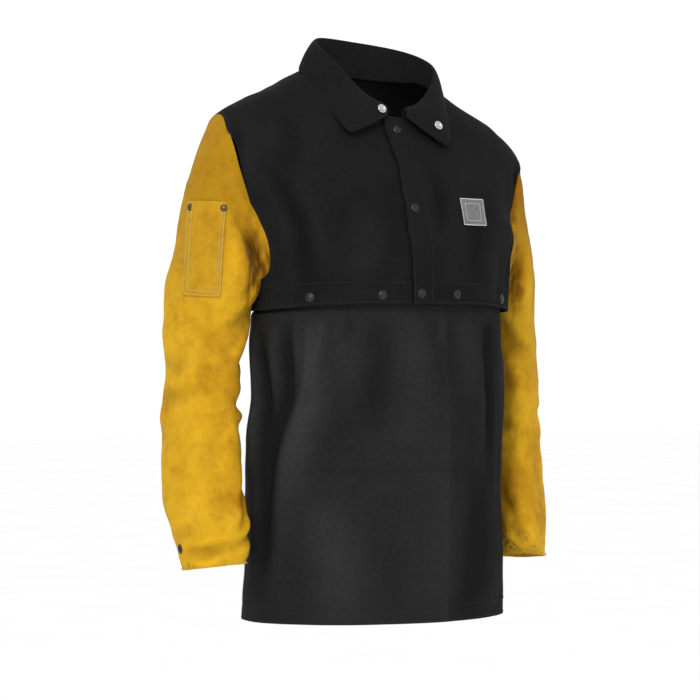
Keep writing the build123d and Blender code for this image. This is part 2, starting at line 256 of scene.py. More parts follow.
def grid_piece(name, grid, flat, closed=False, keep=None, worn=True, tone=None):
    """Sheet from a grid of points in millimetres, with its flat (u, v) millimetres as UVs.
    keep(points) is positive inside the outline; the edge is pulled onto the outline.
    tone is painted fold shade kept on the points: above 0 lightens the cloth on a ridge and below 0 darkens
    it in a hollow."""
    rows, columns = grid.shape[:2]
    points = grid.reshape(-1, 3).copy()
    uv = flat.reshape(-1, 2)
    if keep is not None:
        score = keep(points)
        inside = score > 0
        order = np.arange(rows * columns).reshape(rows, columns)
        moved = points.copy()
        nearest = np.full(len(points), 1e9)
        for step_by in ((0, 1), (0, -1), (1, 0), (-1, 0), (1, 1), (-1, -1), (1, -1), (-1, 1)):
            other = np.roll(order, step_by, (0, 1)).reshape(-1)
            good = ~inside & inside[other]
            step = score[other] / np.maximum(score[other] - score, 1e-9)
            spot = points[other] + (points - points[other]) * step[:, None]
            reach = np.linalg.norm(spot - points, axis=1)
            better = good & (reach < nearest) & (reach < 30)
            moved[better] = spot[better]
            nearest[better] = reach[better]
        usable = inside | (nearest < 1e8)
        points = moved
    else:
        inside = usable = np.ones(len(points), bool)
    faces = []
    last = columns if closed else columns - 1
    for r in range(rows - 1):
        for c in range(last):
            quad = (r * columns + c, r * columns + (c + 1) % columns)
            quad = quad + ((r + 1) * columns + (c + 1) % columns, (r + 1) * columns + c)
            if usable[list(quad)].all() and inside[list(quad)].any():
                faces.append(quad)
    points = posture(points) if worn else points
    used = sorted({v for face in faces for v in face})
    index = {old: new for new, old in enumerate(used)}
    mesh = bpy.data.meshes.new(name)
    corners = [tuple(points[v] * MM) for v in used]
    mesh.from_pydata(corners, [], [[index[v] for v in face] for face in faces])
    layer = mesh.uv_layers.new(name="flat")
    width = flat[0, -1, 0] - flat[0, 0, 0]
    width = width * columns / (columns - 1)
    data = np.zeros((len(mesh.loops), 2))
    k = 0
    for face in faces:
        wrap = closed and max(v % columns for v in face) - min(v % columns for v in face) > 1
        for v in face:
            data[k] = uv[v]
            if wrap and v % columns == 0:
                data[k, 0] += width
            k += 1
    layer.data.foreach_set("uv", data.reshape(-1) * MM)
    # Store the painted fold shade for the material: ridges lighter, hollows darker.
    if tone is not None:
        fold_shade_layer = mesh.attributes.new("tone", "FLOAT", "POINT")
        fold_shade_layer.data.foreach_set("value", np.asarray(tone, float).reshape(-1)[used])
    return link(name, mesh)


def thicken(piece, thickness):
    """Give a sheet its thickness inwards, with a softened edge."""
    solid = piece.modifiers.new("ply", "SOLIDIFY")
    solid.thickness = thickness * MM
    solid.offset = -1
    solid.use_even_offset = False
    bevel = piece.modifiers.new("edge", "BEVEL")
    bevel.width = thickness * 0.3 * MM
    bevel.segments = 2
    bevel.limit_method = "ANGLE"
    bevel.angle_limit = math.radians(50)
    bpy.context.view_layer.update()
    graph = bpy.context.evaluated_depsgraph_get()
    mesh = bpy.data.meshes.new_from_object(piece.evaluated_get(graph))
    piece.modifiers.clear()
    piece.data = mesh
    return piece


# ---- surfaces ----
def torso_at(height, turn):
    """Point on the torso; turn is 0 at the front and +90 degrees at the wearer's left."""
    row = spline(TORSO, height)
    half, front, back, roll = (row[..., k] for k in range(4))
    roll = np.radians(roll)
    x = half * np.sin(turn)
    y = (front + back) / 2 - (back - front) / 2 * np.cos(turn)
    return np.stack([x * np.cos(roll), y, height - x * np.sin(roll)], -1)


def torso_fold(points, height, turn):
    """Outward relief of the yoke cloth in millimetres."""
    u = np.degrees(turn) * 3.2
    marks = [
        (-205, -75, -250, -160, 12, -3.4),
        (-232, -95, -262, -190, 9, 2.6),
        (-165, -120, -172, -280, 15, -3.2),
        (-120, -60, -150, -130, 16, -1.8),
        (-60, -150, -95, -270, 20, 1.8),
        (90, -120, 70, -285, 20, -2.0),
        (190, -70, 240, -150, 13, -3.0),
        (212, -190, 180, -280, 14, -2.6),
        (130, -220, 120, -300, 16, 2.0),
        (25, -90, 32, -200, 9, -1.8),
        (480, -60, 560, -200, 26, -3.0),
        (-480, -60, -560, -210, 24, -3.0),
        (430, -210, 440, -300, 20, 2.4),
        (-430, -200, -425, -300, 20, 2.4),
        (560, -230, 575, -300, 22, -2.0),
    ]
    relief = crease(u, height, marks)
    relief = 1.7 * relief + 1.9 * wavy(points, 85.0, 1) + 0.7 * wavy(points, 26.0, 2)
    hem = 1.5 * wavy(points, 46.0, 3) * smooth(-height, 250, 295)
    rows = bell(height, -266, 7) + bell(height, -292, 5)
    pucker = 0.45 * wavy(points, 9.0, 4) * rows
    return relief * smooth(height, -300, -276) + hem + pucker


def armhole_score(points):
    """Positive on the yoke, negative inside either armhole, in about millimetres."""
    x, y, z = points[..., 0], points[..., 1], points[..., 2]
    roll = np.radians(spline(TORSO, z)[..., 3])
    height = z + x * np.tan(roll)
    across = (y - arm_middle(height)) / ARM_DEPTH
    up = (height - ARM_Z) / np.where(height < ARM_Z, ARM_Z - ARM_LOW, ARM_TOP - ARM_Z)
    power = np.where(height < ARM_Z, ARM_POWER, 2.0)
    size = (np.abs(across) ** power + np.abs(up) ** power) ** (1 / power)
    return np.where(np.abs(x) > 120, (size - 1) * 60, 60.0)


def arm_middle(height):
    """Middle of the armhole fore and aft: it slants forward towards the armpit."""
    return ARM_Y - 0.36 * np.clip(ARM_Z - height, 0, None)


def armhole_edge(side, turn):
    """Point of the armhole seam; turn is 90 degrees at the shoulder tip and 0 in front."""
    c, s = np.cos(turn), np.sin(turn)
    low = s < 0
    power = np.where(low, ARM_POWER, 2.0)
    size = (np.abs(c) ** power + np.abs(s) ** power) ** (-1 / power)
    rise = np.where(low, ARM_Z - ARM_LOW, ARM_TOP - ARM_Z)
    height = ARM_Z + s * size * rise
    y = arm_middle(height) - c * size * ARM_DEPTH
    row = spline(TORSO, height)
    half, front, back, roll = (row[..., k] for k in range(4))
    part = (y - (front + back) / 2) / ((back - front) / 2)
    x = side * half * np.sqrt(np.clip(1 - part**2, 0, 1))
    roll = np.radians(roll)
    return np.stack([x * np.cos(roll), y, height - x * np.sin(roll)], -1)


def neck_score(points):
    """Positive outside the neck opening, which leans with the shoulders."""
    x = points[..., 0] * math.cos(LEAN) - points[..., 2] * math.sin(LEAN)
    y = points[..., 1] - NECK_Y
    size = np.sqrt((x / NECK_HALF_WIDTH) ** 2 + (y / NECK_HALF_DEPTH) ** 2)
    return (size - 1) * 75


def hem_dip(turn, height):
    """How far the yoke hangs lower at the sides."""
    return HEM_DIP * np.sin(turn) ** 4 * smooth(-height, 200, 295)


def yoke_surface(turn, height, lift=0.0):
    """Yoke cloth at these turns and heights, raised by lift: points, flat sheet and painted fold shade."""
    turn, height = np.broadcast_arrays(turn, height)
    points = torso_at(height, turn)
    normal = normals_of(points, False)
    facing = np.sign((normal * (points - [0, -10, -200])).sum(-1, keepdims=True))
    relief = torso_fold(points, height, turn)
    points = points + normal * facing * (relief + lift)[..., None]
    points[..., 2] -= hem_dip(turn, height)
    flat = np.stack([turn * YOKE_RADIUS, height], -1)
    # The third value is painted shade and light: darker in the hollows of the folds, lighter on their ridges.
    return points, flat, np.clip(relief / 7.0, -1, 1)


def yoke_outline(points):
    """Positive on the yoke, outside the neck and both armholes."""
    return np.minimum(armhole_score(points), neck_score(points))


# ---- sleeves ----
def sleeve_grid(side, rows=190, columns=144):
    """Sleeve from its armhole seam to the cuff, [row, column], and its flat sheet."""
    turn = np.linspace(0, 2 * math.pi, columns, endpoint=False)
    unit = np.stack([np.sin(turn), np.cos(turn)])
    controls = [armhole_edge(side, turn)]
    for x, y, z, slope, long_axis, short_axis, angle in SLEEVE:
        lift = -side * SHOULDER_DROP * max(0.0, 1 + (z + 148) / 220)
        if side > 0:
            short_axis += 6.0 * float(smooth(-z, 430, 500))
            x -= 6.5 * float(smooth(-z, 430, 500))
        a = math.radians(angle)
        way = np.array([math.cos(a), -math.sin(a)])
        cross = np.array([math.sin(a), math.cos(a)])
        matrix = long_axis * np.outer(way, way) + short_axis * np.outer(cross, cross)
        out, front = matrix @ unit
        lean = math.radians(slope)
        point = np.stack(
            [side * (x + out * math.cos(lean)), y - front, z + lift + out * math.sin(lean)], -1
        )
        controls.append(point)
    controls = np.array(controls)
    controls[-1, :, 2] += CUFF_RISE * (unit[1] * 0.85 - unit[0] * 0.5)
    centres = controls.mean(1)
    gaps = np.linalg.norm(np.diff(centres, axis=0), axis=1)
    gaps[0] = 52.0
    stations = np.concatenate([[0], np.cumsum(gaps)])
    along = np.linspace(0, stations[-1], rows)
    table = [(s, *controls[k].reshape(-1)) for k, s in enumerate(stations)]
    points = spline(table, along).reshape(rows, columns, 3)
    around = np.cumsum(np.linalg.norm(np.roll(points[rows // 2], -1, 0) - points[rows // 2], axis=1))
    around = around - around[0]
    flat = np.stack(np.broadcast_arrays(around[None, :], -along[:, None]), -1)
    return points, flat, along


def outward(points, centre):
    """Unit normals of a closed grid, pointing away from its centre line."""
    normal = normals_of(points, True)
    sign = np.sign((normal * (points - centre)).sum(-1).mean())
    return normal * sign


def sleeve_relief(side, points, flat, along):
    """Bends, dents and compression folds of the hide, in millimetres outward, and its painted fold shade."""
    girth = flat[0, -1, 0]
    u = flat[..., 0] / girth * 320.0
    v = -flat[..., 1]
    # u is 0 in front, 80 at the outside, 160 behind, 240 at the inside.
    marks = [
        (300, 60, 320, 190, 12, -3.2),
        (20, 40, 8, 150, 14, 2.2),
        (270, 130, 330, 220, 11, -3.6),
        (262, 165, 318, 250, 9, 2.8),
        (252, 205, 300, 262, 9, -3.0),
        (60, 250, 110, 262, 15, -2.6),
        (40, 285, 118, 296, 12, -3.0),
        (70, 330, 130, 322, 16, 2.0),
        (250, 285, 305, 312, 10, -3.2),
        (240, 330, 300, 318, 9, 2.4),
        (10, 300, 42, 420, 14, -2.0),
        (50, 395, 60, 470, 18, 1.8),
        (275, 400, 312, 452, 9, -3.0),
        (285, 430, 320, 492, 8, -3.0),
        (265, 470, 330, 506, 8, -3.4),
        (0, 498, 92, 512, 8, -3.6),
        (8, 520, 80, 530, 7, 2.2),
        (60, 478, 112, 492, 9, -2.2),
        (245, 520, 300, 532, 8, -2.4),
        (150, 240, 220, 262, 14, -3.0),
        (160, 290, 215, 300, 13, 2.4),
        (170, 400, 210, 470, 13, -2.4),
        (150, 500, 230, 515, 9, -2.8),
    ]
    # The sleeve is flatter outside the pocket, and drawn in below the armpit.
    around = (u - 104 + 160) % 320 - 160
    shape = 3.0 * bell(v, 45, 22) - 12.0 * bell(v, 115, 31)
    shape = shape + 3.5 * bell(v, 212, 26) + 3.0 * smooth(v, 262, 300)
    shape = shape + 3.0 * bell(v, 442, 24)
    relief = shape * bell(around, 0, 52) * (side < 0)
    around = (u - 262 + 160) % 320 - 160
    relief = relief - 7.5 * bell(v, 137, 19) * bell(around, 0, 42)
    folds = np.zeros(points.shape[:2])
    for shift in (-320.0, 0.0, 320.0):
        folds = folds + crease(u + shift, v, marks)
    folds = folds * (1.6 if side < 0 else 1.3)
    relief = relief + folds + 1.5 * wavy(points, 62.0, 11 + side) + 0.75 * wavy(points, 24.0, 12 + side)
    relief = relief + 0.22 * wavy(points, 8.0, 13 + side)
    ease = smooth(along, 2, 30)[:, None]
    fringe = 0.5 * wavy(points, 3.0, 14) * smooth(along, along[-1] - 3, along[-1])[:, None]
    # The sleeve head swells a little beside the seam.
    head = 3.0 * bell(along, 16, 13)[:, None]
    # The second value is painted fold shade: darker in hollows, lighter on ridges.
    return relief * ease + head + fringe, np.clip(folds / 5.0, -1, 1)


# ---- materials ----
def new_material(name):
    """Principled material, its node tree and its shader."""
    material = bpy.data.materials.new(name)
    material.use_nodes = True
    shader = material.node_tree.nodes["Principled BSDF"]
    return material, material.node_tree, shader


def wire(tree, socket, value):
    """Link a socket to another node's output, or give it a plain value."""
    if hasattr(value, "is_output"):
        tree.links.new(value, socket)
    else:
        socket.default_value = value


def tune(tree, node, **values):
    """Set a node's own settings and, by names with _ for a space, its sockets."""
    for key, value in values.items():
        if hasattr(node, key):
            setattr(node, key, value)
        else:
            wire(tree, node.inputs[key.replace("_", " ")], value)
    return node


def add(tree, kind, **values):
    """New node with its settings and sockets."""
    return tune(tree, tree.nodes.new(kind), **values)


def noise_node(tree, place, scale, detail=3.0, rough=0.55):
    """Noise on object coordinates in metres."""
    node = add(tree, "ShaderNodeTexNoise", Scale=scale, Detail=detail, Roughness=rough)
    wire(tree, node.inputs["Vector"], place.outputs["Object"])
    return node.outputs["Fac"]


def ramp(tree, source, stops):
    """Colour ramp from (position, colour) stops."""
    node = add(tree, "ShaderNodeValToRGB", Fac=source)
    bar = node.color_ramp
    while len(bar.elements) < len(stops):
        bar.elements.new(0.5)
    for element, (position, colour) in zip(bar.elements, stops):
        element.position = position
        element.color = (*colour, 1)
    return node.outputs["Color"]


def mix(tree, a, b, factor, mode="MIX"):
    """Blend two colours; factor is a number or a socket."""
    node = add(tree, "ShaderNodeMix", data_type="RGBA", blend_type=mode)
    for socket, value in ((node.inputs[6], a), (node.inputs[7], b), (node.inputs[0], factor)):
        wire(tree, socket, (*value, 1) if isinstance(value, tuple) else value)
    return node.outputs[2]


def scaled(tree, source, factor, offset):
    """A socket times a factor, plus an offset."""
    node = add(tree, "ShaderNodeMath", operation="MULTIPLY_ADD")
    for socket, value in zip(node.inputs, (source, factor, offset)):
        wire(tree, socket, value)
    return node.outputs[0]


def stored(tree, name):
    """Value that a piece stores at each of its points."""
    return add(tree, "ShaderNodeAttribute", attribute_name=name).outputs["Fac"]


def bump(tree, shader, layers):
    """Stack bumps: (height socket, distance in metres, strength)."""
    last = None
    for height, distance, strength in layers:
        node = add(tree, "ShaderNodeBump", Distance=distance, Strength=strength, Height=height)
        if last is not None:
            tune(tree, node, Normal=last)
        last = node.outputs["Normal"]
    tune(tree, shader, Normal=last)


def cotton(name, shade):
    """Black flame-resistant cotton twill with lint, fine weave and painted fold shade: darker in hollows,
    lighter on ridges.
    """
    material, tree, shader = new_material(name)
    place = add(tree, "ShaderNodeTexCoord")
    patches = noise_node(tree, place, 9.0, 4.0)
    slubs = noise_node(tree, place, 160.0, 5.0, 0.65)
    lint = noise_node(tree, place, 620.0, 2.0, 0.7)
    dark = (shade * 0.86, shade * 0.86, shade * 0.86)
    light = (shade * 1.12, shade * 1.12, shade * 1.14)
    colour = ramp(tree, patches, [(0.30, dark), (0.72, light)])
    grain = ramp(tree, slubs, [(0.25, (0.72, 0.72, 0.72)), (0.75, (1.25, 1.25, 1.25))])
    colour = mix(tree, colour, grain, 0.75, "MULTIPLY")
    flecks = ramp(tree, lint, [(0.70, (0, 0, 0)), (0.82, (0.05, 0.05, 0.052))])
    colour = mix(tree, colour, flecks, 0.35, "ADD")
    # Painted shade and light from the stored tone: hollows and the bib's sides darker, ridges lighter.
    colour = mix(tree, colour, scaled(tree, stored(tree, "tone"), 0.55, 1.0), 1.0, "MULTIPLY")
    weave = add(tree, "ShaderNodeTexWave", wave_type="BANDS", bands_direction="DIAGONAL")
    tune(tree, weave, Scale=620.0, Distortion=1.2, Detail=2.0, Vector=place.outputs["UV"])
    rough = scaled(tree, slubs, 0.16, 0.74)
    tune(tree, shader, Base_Color=colour, Roughness=rough, Specular_IOR_Level=0.045)
    layers = [(weave.outputs["Fac"], 0.00022, 0.55), (slubs, 0.0005, 0.35), (patches, 0.004, 0.25)]
    bump(tree, shader, layers)
    return material


def suede(name, tint):
    """Golden split cowhide: mottled nap, painted shade in fold hollows and painted light on fold ridges, pale
    rubbed spots.
    """
    material, tree, shader = new_material(name)
    place = add(tree, "ShaderNodeTexCoord")
    broad = noise_node(tree, place, 11.0, 4.0, 0.6)
    mottled = noise_node(tree, place, 55.0, 6.0, 0.62)
    nap = noise_node(tree, place, 420.0, 4.0, 0.7)
    fibre = noise_node(tree, place, 1900.0, 2.0, 0.7)
    deep = tuple(c * t for c, t in zip(tint, (0.72, 0.62, 0.55)))
    pale = tuple(min(1.0, c * t) for c, t in zip(tint, (1.10, 1.16, 1.35)))
    colour = ramp(tree, broad, [(0.28, deep), (0.46, tint), (0.75, pale)])
    flecks = ramp(tree, mottled, [(0.28, (0.70, 0.64, 0.58)), (0.50, (1, 1, 1)), (0.78, (1.10, 1.13, 1.2))])
    colour = mix(tree, colour, flecks, 0.62, "MULTIPLY")
    dust = ramp(tree, nap, [(0.30, (0.80, 0.76, 0.70)), (0.62, (1.06, 1.06, 1.06))])
    colour = mix(tree, colour, dust, 0.55, "MULTIPLY")
    # Painted fold shade: darker in hollows, lighter on ridges.
    colour = mix(tree, colour, scaled(tree, stored(tree, "tone"), 0.22, 1.0), 1.0, "MULTIPLY")
    # Grease with painted shade from the stored value: under the arm, inside the elbow, at the cuff and over
    # the upper part.
    colour = mix(tree, colour, (0.36, 0.27, 0.22), stored(tree, "grease_and_shade"), "MULTIPLY")
    rough = scaled(tree, mottled, 0.14, 0.80)
    tune(tree, shader, Base_Color=colour, Roughness=rough, Specular_IOR_Level=0.08)
    tune(tree, shader, Sheen_Weight=0.07, Sheen_Roughness=0.5, Sheen_Tint=(1.0, 0.78, 0.25, 1))
    layers = [(broad, 0.004, 0.30), (mottled, 0.0012, 0.45), (nap, 0.00045, 0.6), (fibre, 0.00012, 0.5)]
    bump(tree, shader, layers)
    return material


def metal(name, colour, rough):
    """Snap and rivet metal with fine scratches and tarnish."""
    material, tree, shader = new_material(name)
    place = add(tree, "ShaderNodeTexCoord")
    tarnish = noise_node(tree, place, 260.0, 4.0)
    scratch = noise_node(tree, place, 1500.0, 3.0, 0.7)
    low = tuple(c * 0.65 for c in colour)
    tone = ramp(tree, tarnish, [(0.32, low), (0.66, colour)])
    tune(tree, shader, Base_Color=tone, Metallic=1.0, Roughness=scaled(tree, tarnish, 0.22, rough))
    bump(tree, shader, [(scratch, 0.00008, 0.3), (tarnish, 0.0002, 0.2)])
    return material


def thread(name, colour):
    """Twisted sewing thread."""
    material, tree, shader = new_material(name)
    place = add(tree, "ShaderNodeTexCoord")
    fuzz = noise_node(tree, place, 900.0, 3.0)
    low = tuple(c * 0.62 for c in colour)
    tone = ramp(tree, fuzz, [(0.3, low), (0.7, colour)])
    tune(tree, shader, Base_Color=tone, Roughness=0.7, Specular_IOR_Level=0.3)
    bump(tree, shader, [(fuzz, 0.0001, 0.5)])
    return material


YOKE_CLOTH = cotton("yoke cotton", 0.0090)
BIB_CLOTH = cotton("bib cotton", 0.0165)
HIDE = suede("split cowhide", (0.518, 0.288, 0.0105))
POCKET_HIDE = suede("pocket cowhide", (0.465, 0.252, 0.0105))
CAP_METAL = metal("gunmetal", (0.040, 0.040, 0.042), 0.24)
NICKEL = metal("nickel", (0.62, 0.61, 0.58), 0.18)
BRONZE = metal("dark bronze", (0.13, 0.085, 0.05), 0.30)
BLACK_THREAD = thread("black thread", (0.012, 0.012, 0.013))
CREAM_THREAD = thread("cream thread", (0.58, 0.46, 0.15))
FRAY = thread("hide fibres", (0.66, 0.43, 0.05))
PATCH = cotton("grey patch", 0.16)
PATCH_EDGE = thread("patch edging", (0.62, 0.62, 0.60))


def dress(piece, material):
    """Give a piece one material."""
    piece.data.materials.clear()
    piece.data.materials.append(material)
    return piece


def fit(piece, material, nodes=(), body=YOKE_BODY):
    """Give a piece its material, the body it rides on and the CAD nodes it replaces."""
    dress(piece, material)
    if body:
        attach(piece, body)
    if nodes:
        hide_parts(*nodes)
    return piece


def tree_of(piece):
    """Ray-casting tree of a piece, in metres."""
    corners = [v.co.copy() for v in piece.data.vertices]
    return BVHTree.FromPolygons(corners, [tuple(p.vertices) for p in piece.data.polygons])


def settle(tree, points, lift):
    """Points in millimetres moved onto a surface and raised along its outer normal."""
    spots, normals = [], []
    for p in points:
        start = Vector(p) * MM
        hit, normal, _, _ = tree.find_nearest(start)
        away = start - Vector((0, -0.01, hit.z))
        if normal.dot(away) < 0:
            normal = -normal
        spots.append(np.array(hit) / MM + np.array(normal) * lift)
        normals.append(np.array(normal))
    return np.array(spots), np.array(normals)


def resample(points, pitch):
    """Even steps along a path."""
    points = np.asarray(points, float)
    steps = np.linalg.norm(np.diff(points, axis=0), axis=1)
    run = np.concatenate([[0], np.cumsum(steps)])
    count = max(2, int(run[-1] / pitch))
    at = np.linspace(0, run[-1], count + 1)
    return np.stack([np.interp(at, run, points[:, k]) for k in range(3)], -1)


def ring(centre, across, up, radius, sides):
    """Points of a circle in the plane of two unit directions."""
    turns = 2 * math.pi * np.arange(sides) / sides
    return centre + radius * (np.outer(np.cos(turns), across) + np.outer(np.sin(turns), up))


def tube(verts, faces, rings, flip=False, capped=True):
    """Add a tube through rings of points in millimetres, with its faces turned over if flip."""
    base, sides = len(verts), len(rings[0])
    verts.extend(tuple(spot * MM) for loop in rings for spot in loop)
    top = base + (len(rings) - 1) * sides
    made = []
    for start in range(base, top, sides):
        for s in range(sides):
            p, q = start + s, start + (s + 1) % sides
            made.append((p, q, q + sides, p + sides))
    if capped:
        made.append(tuple(range(base, base + sides))[::-1])
        made.append(tuple(range(top, top + sides)))
    faces.extend(face[::-1] if flip else face for face in made)


def piece_of(name, verts, faces, rounded=True):
    """New object from points in metres and faces."""
    mesh = bpy.data.meshes.new(name)
    mesh.from_pydata(verts, [], faces)
    return link(name, mesh, rounded)


# One stitch: how far along it, its width and how far it sinks, as shares of its size.
STITCH = ((0.10, 0.35, 0.5), (0.26, 0.95, 0.0), (0.5, 1.1, -0.1), (0.74, 0.95, 0.0), (0.90, 0.35, 0.5))


def stitches(name, paths, surface, pitch=3.3, radius=0.42, lift=0.25, worn=True):
    """Rows of single stitches lying on a surface."""
    verts, faces = [], []
    for path in paths:
        path = posture(path) if worn else path
        spots, normals = settle(surface, resample(path, pitch), lift)
        for a, b, up in zip(spots, spots[1:], normals):
            way = (b - a) / max(np.linalg.norm(b - a), 1e-6)
            across = np.cross(way, up)
            across = across / max(np.linalg.norm(across), 1e-6)
            up = np.cross(across, way)
            rings = []
            for t, wide, sink in STITCH:
                centre = a + (b - a) * t - up * sink * radius
                rings.append(ring(centre, across, up, radius * wide, 6))
            tube(verts, faces, rings)
    return piece_of(name, verts, faces)


def lathe(name, profile, places):
    """Turned pieces: a (radius, height) profile set on (origin, normal) places."""
    verts, faces = [], []
    for origin, normal in places:
        z = normal / np.linalg.norm(normal)
        x = np.cross(z, [0, 0, 1])
        x = x / np.linalg.norm(x)
        y = np.cross(z, x)
        rings = [ring(origin + z * height, x, y, max(radius, 0.02), 40) for radius, height in profile]
        tube(verts, faces, rings, flip=True)
    return piece_of(name, verts, faces)


# Half sections of the metal pieces: radius and height above the cloth.
DOME = [
    (6.3, -0.6), (6.5, 0.1), (6.4, 0.7), (5.9, 1.0), (5.5, 0.9), (5.2, 1.1),
    (4.3, 1.8), (3.0, 2.25), (1.5, 2.5), (0.3, 2.55),
]
RIVET = [(4.6, -0.6), (4.7, 0.3), (4.4, 0.9), (3.6, 1.5), (2.4, 1.9), (1.1, 2.1), (0.2, 2.12)]
RING = [(6.6, -0.4), (6.7, 0.5), (6.2, 1.3), (5.3, 1.6), (4.3, 1.3), (3.6, 0.6), (3.4, 0.3), (0.2, 0.3)]
SOCKET_BACK = [(5.6, 0.0), (5.8, 0.3), (5.7, 1.3), (5.0, 1.7), (3.8, 1.6), (3.2, 0.9), (2.9, 0.7), (0.2, 0.7)]
STUD_BACK = [(2.4, 0.0), (2.6, 0.4), (2.3, 0.9), (5.2, 1.0), (5.4, 1.3), (5.2, 1.6), (2.0, 1.7), (0.2, 1.7)]
BURR = [(4.0, 0.0), (4.2, 0.3), (4.0, 0.8), (2.0, 0.9), (1.8, 1.3), (0.2, 1.5)]
EYELET_BACK = [(4.8, 0.0), (5.0, 0.3), (4.7, 0.7), (3.2, 0.9), (1.8, 0.7), (1.5, 0.2), (0.2, 0.2)]


def orient(piece):
    """Make a sheet's normals point away from the body's middle, or from the arm's."""
    mesh = bmesh.new()
    mesh.from_mesh(piece.data)
    mesh.faces.ensure_lookup_table()
    face = mesh.faces[len(mesh.faces) // 2]
    middle = face.calc_center_median()
    inside = Vector((0.0, -0.01, middle.z - 0.01))
    if "sleeve" in piece.name and abs(middle.x) > 0.18:
        inside = Vector((math.copysign(0.245, middle.x), 0.01, middle.z - 0.01))
    if face.normal.dot(middle - inside) < 0:
        bmesh.ops.reverse_faces(mesh, faces=mesh.faces)
    mesh.to_mesh(piece.data)
    mesh.free()
    return piece


# ---- yoke ----
FRONT_HALF_WIDTH = 200.0
front_split = math.asin((BAND_RIGHT - 2) / FRONT_HALF_WIDTH)
facing_edge = math.asin((BAND_LEFT - 2) / FRONT_HALF_WIDTH)
yoke_trees = {}
for node, first, last, columns in (
    ("right_front", -SIDE_SEAM, front_split, 190),
    ("left_front", front_split, SIDE_SEAM, 170),
    ("back_yoke", SIDE_SEAM, 2 * math.pi - SIDE_SEAM, 300),
):
    turn = np.linspace(first, last, columns)[None, :]
    height = np.concatenate([np.linspace(36, -60, 75), np.linspace(-60, HEM_Z, 76)[1:]])[:, None]
    points, flat, tone = yoke_surface(turn, height)
    panel = orient(grid_piece(f"{node}_cloth", points, flat, keep=yoke_outline, tone=tone))
    yoke_trees[node] = tree_of(panel)
    fit(thicken(panel, CLOTH), YOKE_CLOTH, [node])

# Hem folds and the facing are a second ply on the inside.
for node, first, last, columns, low, high in (
    ("front_hem_fold", -SIDE_SEAM, SIDE_SEAM, 260, HEM_Z, HEM_Z + HEM_FOLD),
    ("back_hem_fold", SIDE_SEAM, 2 * math.pi - SIDE_SEAM, 260, HEM_Z, HEM_Z + HEM_FOLD),
    ("right_front_facing", facing_edge, front_split, 12, HEM_Z + HEM_FOLD + 1, -60),
):
    turn = np.linspace(first, last, columns)[None, :]
    height = np.linspace(high, low, 12 if high - low < 50 else 60)[:, None]
    points, flat, _ = yoke_surface(turn, height, -CLOTH - PLY_GAP)
    ply = orient(grid_piece(f"{node}_ply", points, flat, keep=yoke_outline))
    fit(thicken(ply, CLOTH), YOKE_CLOTH, [node])

# ---- placket band: laps over from the wearer's left, edge turned under ----
across = np.linspace(0, 1, 26)
height = np.linspace(-36, HEM_Z, 150)
band_rows = []
for z in height:
    wave = 2.0 * math.sin(z / 25.0) + 1.0 * math.sin(z / 9.1 + 1.0) + 0.5 * math.sin(z / 4.3)
    wave = wave - 5.0 * smooth(z, -110, -60)
    x = BAND_LEFT + wave * 0.7 + across * (BAND_RIGHT + 3 - BAND_LEFT - wave * 0.7)
    turn = np.arcsin(x / spline(TORSO, np.array([z]))[0, 0])
    level = np.full(across.shape, z)
    row = torso_at(level, turn)
    relief = torso_fold(row[None], level[None], turn[None])[0]
    lap = BAND_STAND * (1 - smooth(across, 0.42, 1.0)) - 1.6 * (1 - smooth(across, 0.0, 0.1)) - 0.25
    lap = lap + 0.5 * (1 - smooth(across, 0.86, 1.0)) + 0.7 * math.sin(z / 17.0 + 0.6) * (1 - across)
    row[:, 1] -= relief + lap
    band_rows.append(row)
flat = np.stack(np.broadcast_arrays(across[None, :] * 42.0, height[:, None]), -1)
band = orient(grid_piece("placket_band_cloth", np.array(band_rows), flat))
band_tree = tree_of(band)
fit(thicken(band, CLOTH), YOKE_CLOTH, ["placket_band"])

# ---- collar ----
ROLL_LINE = [(-80, -40), (-72, -27), (-55, 0), (-40, 21), (10, 59), (60, 79), (110, 87)]
# Lower edge of the leaf, from the front end to the back: turn in degrees, X, Y, Z.
LEAF_EDGE = [
    (9, 14, -78, -35),
    (20, 34, -85, -48),
    (31, 58, -90, -61),
    (41, 77, -90, -67),
    (50, 87, -76, -54),
    (62, 97, -50, -31),
    (76, 104, -22, -8),
    (92, 110, 8, 15),
    (120, 92, 50, 27),
    (150, 56, 86, 34),
    (180, 0, 99, 36),
]


def lean(points):
    """Turn the collar with the shoulders."""
    out = np.array(points, float)
    x, z = points[..., 0], points[..., 2]
    out[..., 0] = x * math.cos(LEAN) + z * math.sin(LEAN)
    out[..., 2] = -x * math.sin(LEAN) + z * math.cos(LEAN)
    return out


def seam_height(x, y):
    """Height of the yoke at a point of the neck seam, before the lean."""
    low, high = np.full(x.shape, -75.0), np.full(x.shape, 36.0)
    for _ in range(24):
        middle = (low + high) / 2
        row = spline(TORSO, middle)
        half, front, back = row[..., 0], row[..., 1], row[..., 2]
        size = (x / half) ** 2 + ((y - (front + back) / 2) / ((back - front) / 2)) ** 2
        low = np.where(size < 1, middle, low)
        high = np.where(size < 1, high, middle)
    return (low + high) / 2


def roll_height(y):
    """Height of the collar's fold line, before the lean."""
    return spline(ROLL_LINE, y)[..., 0]


